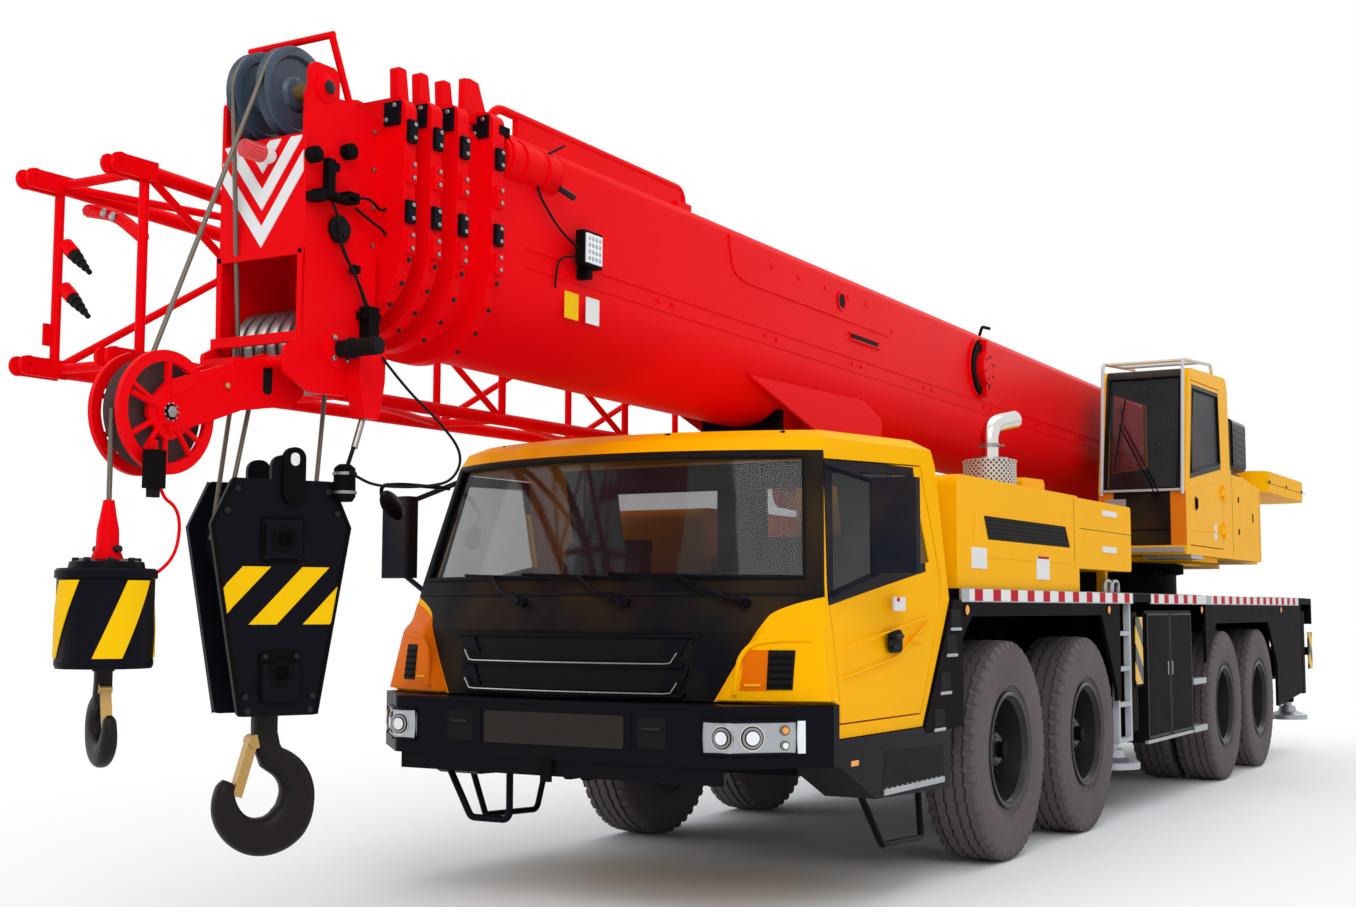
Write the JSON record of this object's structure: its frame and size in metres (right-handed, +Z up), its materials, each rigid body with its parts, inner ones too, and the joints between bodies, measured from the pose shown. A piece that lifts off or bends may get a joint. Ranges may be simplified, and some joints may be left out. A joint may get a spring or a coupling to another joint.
{
  "type": "truck crane",
  "caption": "Truck-mounted telescopic crane with a stowed lattice fly jib, hook blocks, operator's cab, extending outriggers and a steerable carrier.",
  "frame": {"origin": "on the ground under the middle of the bounding box", "axes": "+X to the vehicle's left, +Y to its rear, +Z up"},
  "size_m": [3.12, 14.7823, 3.584],
  "materials": {
    "red_paint": "gloss red paint",
    "yellow_paint": "gloss golden yellow paint",
    "black_paint": "satin black paint",
    "black_steel": "black painted castings",
    "glazing": "tinted clear glass",
    "tyre_rubber": "dull black rubber on black steel rims",
    "grey_trim": "dark grey trim",
    "silver_metal": "bare stainless sheet",
    "chromed_rod": "hard chromed rod",
    "jack_metal": "bare rods and floats",
    "wire_rope": "greased steel wire rope",
    "lamp_lens": "clear lamp lenses"
  },
  "bodies": {
    "carrier": {"chassis_frame": "black_paint", "axle_beams": "black_steel", "engine_block": "black_steel", "deck": "black_paint", "side_cabinets": "black_paint", "front_bumper": "black_paint", "headlamps": "lamp_lens", "carrier_cab": "yellow_paint", "carrier_cab_glass": "glazing", "cab_interior": "grey_trim", "boom_rest": "black_paint", "engine_housing": "yellow_paint", "exhaust_stack": "silver_metal", "slewing_ring": "black_steel"},
    "superstructure": {"turntable": "yellow_paint", "operator_cab": "yellow_paint", "operator_cab_glass": "glazing", "operator_interior": "grey_trim", "counterweight": "yellow_paint", "winches": "black_steel"},
    "operator_door": {"operator_door": "yellow_paint"},
    "boom_base": {"boom_base": "red_paint", "fly_jib": "red_paint"},
    "boom_section_2": {"boom_section_2": "red_paint"},
    "boom_section_3": {"boom_section_3": "red_paint"},
    "boom_section_4": {"boom_section_4": "red_paint"},
    "boom_section_5": {"boom_section_5": "red_paint", "head_sheaves": "black_steel", "aux_sheave_head": "red_paint"},
    "lift_cylinder_barrel": {"lift_cylinder_barrel": "yellow_paint"},
    "lift_cylinder_rod": {"lift_cylinder_rod": "chromed_rod"},
    "hook_block": {"hook_block": "black_steel", "hoist_falls": "wire_rope"},
    "main_hook": {"main_hook": "black_steel"},
    "aux_rope": {"aux_rope": "wire_rope"},
    "aux_hook": {"aux_hook": "black_steel"},
    "cab_door_left": {"cab_door_left": "yellow_paint", "door_glass_left": "glazing"},
    "knuckle_1_left": {"knuckle_1_left": "black_steel"},
    "knuckle_2_left": {"knuckle_2_left": "black_steel"},
    "wheel_1_left": {"wheel_1_left": "tyre_rubber"},
    "wheel_2_left": {"wheel_2_left": "tyre_rubber"},
    "wheel_3_left": {"wheel_3_left": "tyre_rubber"},
    "wheel_4_left": {"wheel_4_left": "tyre_rubber"},
    "outrigger_beam_front_left": {"outrigger_beam_front_left": "black_paint"},
    "jack_front_left": {"jack_front_left": "jack_metal"},
    "outrigger_beam_rear_left": {"outrigger_beam_rear_left": "black_paint"},
    "jack_rear_left": {"jack_rear_left": "jack_metal"},
    "cab_door_right": {"cab_door_right": "yellow_paint", "door_glass_right": "glazing"},
    "knuckle_1_right": {"knuckle_1_right": "black_steel"},
    "knuckle_2_right": {"knuckle_2_right": "black_steel"},
    "wheel_1_right": {"wheel_1_right": "tyre_rubber"},
    "wheel_2_right": {"wheel_2_right": "tyre_rubber"},
    "wheel_3_right": {"wheel_3_right": "tyre_rubber"},
    "wheel_4_right": {"wheel_4_right": "tyre_rubber"},
    "outrigger_beam_front_right": {"outrigger_beam_front_right": "black_paint"},
    "jack_front_right": {"jack_front_right": "jack_metal"},
    "outrigger_beam_rear_right": {"outrigger_beam_rear_right": "black_paint"},
    "jack_rear_right": {"jack_rear_right": "jack_metal"}
  },
  "joints": [
    {"name": "slew", "type": "hinge", "parent": "carrier", "child": "superstructure", "pos_m": [0, 3.84, 1.79], "axis": [0, 0, 1], "continuous": true},
    {"name": "luff", "type": "hinge", "parent": "superstructure", "child": "boom_base", "pos_m": [0, 5.34, 2.75], "axis": [-1, 0, 0], "range_deg": [0, 79]},
    {"name": "telescope_2", "type": "slide", "parent": "boom_base", "child": "boom_section_2", "axis": [0, -0.9999, 0.0127], "range_m": [0, 7.5]},
    {"name": "telescope_3", "type": "slide", "parent": "boom_section_2", "child": "boom_section_3", "axis": [0, -0.9999, 0.0127], "range_m": [0, 7.5]},
    {"name": "telescope_4", "type": "slide", "parent": "boom_section_3", "child": "boom_section_4", "axis": [0, -0.9999, 0.0127], "range_m": [0, 7.5]},
    {"name": "telescope_5", "type": "slide", "parent": "boom_section_4", "child": "boom_section_5", "axis": [0, -0.9999, 0.0127], "range_m": [0, 7.5]},
    {"name": "lift_barrel", "type": "hinge", "parent": "superstructure", "child": "lift_cylinder_barrel", "pos_m": [0, 3.04, 2], "axis": [-1, 0, 0], "range_deg": [0, 91.2]},
    {"name": "lift_rod", "type": "slide", "parent": "lift_cylinder_barrel", "child": "lift_cylinder_rod", "axis": [0, -0.9997, 0.0245], "range_m": [0, 2.807]},
    {"name": "hook_swing", "type": "hinge", "parent": "boom_section_5", "child": "hook_block", "pos_m": [0, -6.32, 2.37], "axis": [1, 0, 0], "range_deg": [0, 79], "deforming": ["hoist_falls"]},
    {"name": "main_hook_swivel", "type": "hinge", "parent": "hook_block", "child": "main_hook", "pos_m": [0, -6.44, 1.06], "axis": [0, 0, 1], "continuous": true},
    {"name": "aux_swing", "type": "hinge", "parent": "boom_section_5", "child": "aux_rope", "pos_m": [0, -7.02, 2.07], "axis": [1, 0, 0], "range_deg": [0, 79]},
    {"name": "aux_hook_swivel", "type": "hinge", "parent": "aux_rope", "child": "aux_hook", "pos_m": [0, -7.1973, 1.5], "axis": [0, 0, 1], "continuous": true},
    {"name": "steer_1_left", "type": "hinge", "parent": "carrier", "child": "knuckle_1_left", "pos_m": [1, -1.86, 0.613], "axis": [0, 0, 1], "range_deg": [-33, 33]},
    {"name": "steer_1_right", "type": "hinge", "parent": "carrier", "child": "knuckle_1_right", "pos_m": [-1, -1.86, 0.613], "axis": [0, 0, 1], "range_deg": [-33, 33]},
    {"name": "steer_2_left", "type": "hinge", "parent": "carrier", "child": "knuckle_2_left", "pos_m": [1, -0.41, 0.613], "axis": [0, 0, 1], "range_deg": [-24, 24]},
    {"name": "steer_2_right", "type": "hinge", "parent": "carrier", "child": "knuckle_2_right", "pos_m": [-1, -0.41, 0.613], "axis": [0, 0, 1], "range_deg": [-24, 24]},
    {"name": "spin_1_left", "type": "hinge", "parent": "knuckle_1_left", "child": "wheel_1_left", "pos_m": [0, -1.86, 0.613], "axis": [1, 0, 0], "continuous": true},
    {"name": "spin_1_right", "type": "hinge", "parent": "knuckle_1_right", "child": "wheel_1_right", "pos_m": [0, -1.86, 0.613], "axis": [1, 0, 0], "continuous": true},
    {"name": "spin_2_left", "type": "hinge", "parent": "knuckle_2_left", "child": "wheel_2_left", "pos_m": [0, -0.41, 0.613], "axis": [1, 0, 0], "continuous": true},
    {"name": "spin_2_right", "type": "hinge", "parent": "knuckle_2_right", "child": "wheel_2_right", "pos_m": [0, -0.41, 0.613], "axis": [1, 0, 0], "continuous": true},
    {"name": "spin_3_left", "type": "hinge", "parent": "carrier", "child": "wheel_3_left", "pos_m": [0, 3.44, 0.613], "axis": [1, 0, 0], "continuous": true},
    {"name": "spin_3_right", "type": "hinge", "parent": "carrier", "child": "wheel_3_right", "pos_m": [0, 3.44, 0.613], "axis": [1, 0, 0], "continuous": true},
    {"name": "spin_4_left", "type": "hinge", "parent": "carrier", "child": "wheel_4_left", "pos_m": [0, 4.79, 0.613], "axis": [1, 0, 0], "continuous": true},
    {"name": "spin_4_right", "type": "hinge", "parent": "carrier", "child": "wheel_4_right", "pos_m": [0, 4.79, 0.613], "axis": [1, 0, 0], "continuous": true},
    {"name": "cab_door_left", "type": "hinge", "parent": "carrier", "child": "cab_door_left", "pos_m": [1.277, -4.19, 1.4], "axis": [0, 0, -1], "range_deg": [0, 70]},
    {"name": "cab_door_right", "type": "hinge", "parent": "carrier", "child": "cab_door_right", "pos_m": [-1.277, -4.19, 1.4], "axis": [0, 0, 1], "range_deg": [0, 70]},
    {"name": "operator_door_hinge", "type": "hinge", "parent": "superstructure", "child": "operator_door", "pos_m": [1.262, 3.58, 2.6], "axis": [0, 0, 1], "range_deg": [0, 100]},
    {"name": "beam_front_left", "type": "slide", "parent": "carrier", "child": "outrigger_beam_front_left", "axis": [1, 0, 0], "range_m": [0, 1.45]},
    {"name": "jack_front_left", "type": "slide", "parent": "outrigger_beam_front_left", "child": "jack_front_left", "axis": [0, 0, -1], "range_m": [0, 0.6]},
    {"name": "beam_front_right", "type": "slide", "parent": "carrier", "child": "outrigger_beam_front_right", "axis": [-1, 0, 0], "range_m": [0, 1.45]},
    {"name": "jack_front_right", "type": "slide", "parent": "outrigger_beam_front_right", "child": "jack_front_right", "axis": [0, 0, -1], "range_m": [0, 0.6]},
    {"name": "beam_rear_left", "type": "slide", "parent": "carrier", "child": "outrigger_beam_rear_left", "axis": [1, 0, 0], "range_m": [0, 1.45]},
    {"name": "jack_rear_left", "type": "slide", "parent": "outrigger_beam_rear_left", "child": "jack_rear_left", "axis": [0, 0, -1], "range_m": [0, 0.6]},
    {"name": "beam_rear_right", "type": "slide", "parent": "carrier", "child": "outrigger_beam_rear_right", "axis": [-1, 0, 0], "range_m": [0, 1.45]},
    {"name": "jack_rear_right", "type": "slide", "parent": "outrigger_beam_rear_right", "child": "jack_rear_right", "axis": [0, 0, -1], "range_m": [0, 0.6]}
  ],
  "couplings": [
    {"joint": "telescope_3", "follows": "telescope_2", "ratio": 1},
    {"joint": "telescope_4", "follows": "telescope_2", "ratio": 1},
    {"joint": "telescope_5", "follows": "telescope_2", "ratio": 1},
    {"joint": "lift_barrel", "follows": "luff", "ratio": 1.1505},
    {"joint": "lift_rod", "follows": "luff", "m_per_rad": 2.0323},
    {"joint": "hook_swing", "follows": "luff", "ratio": 1},
    {"joint": "aux_swing", "follows": "luff", "ratio": 1},
    {"joint": "steer_1_right", "follows": "steer_1_left", "ratio": 1},
    {"joint": "steer_2_left", "follows": "steer_1_left", "ratio": 0.72},
    {"joint": "steer_2_right", "follows": "steer_1_left", "ratio": 0.72}
  ]
}
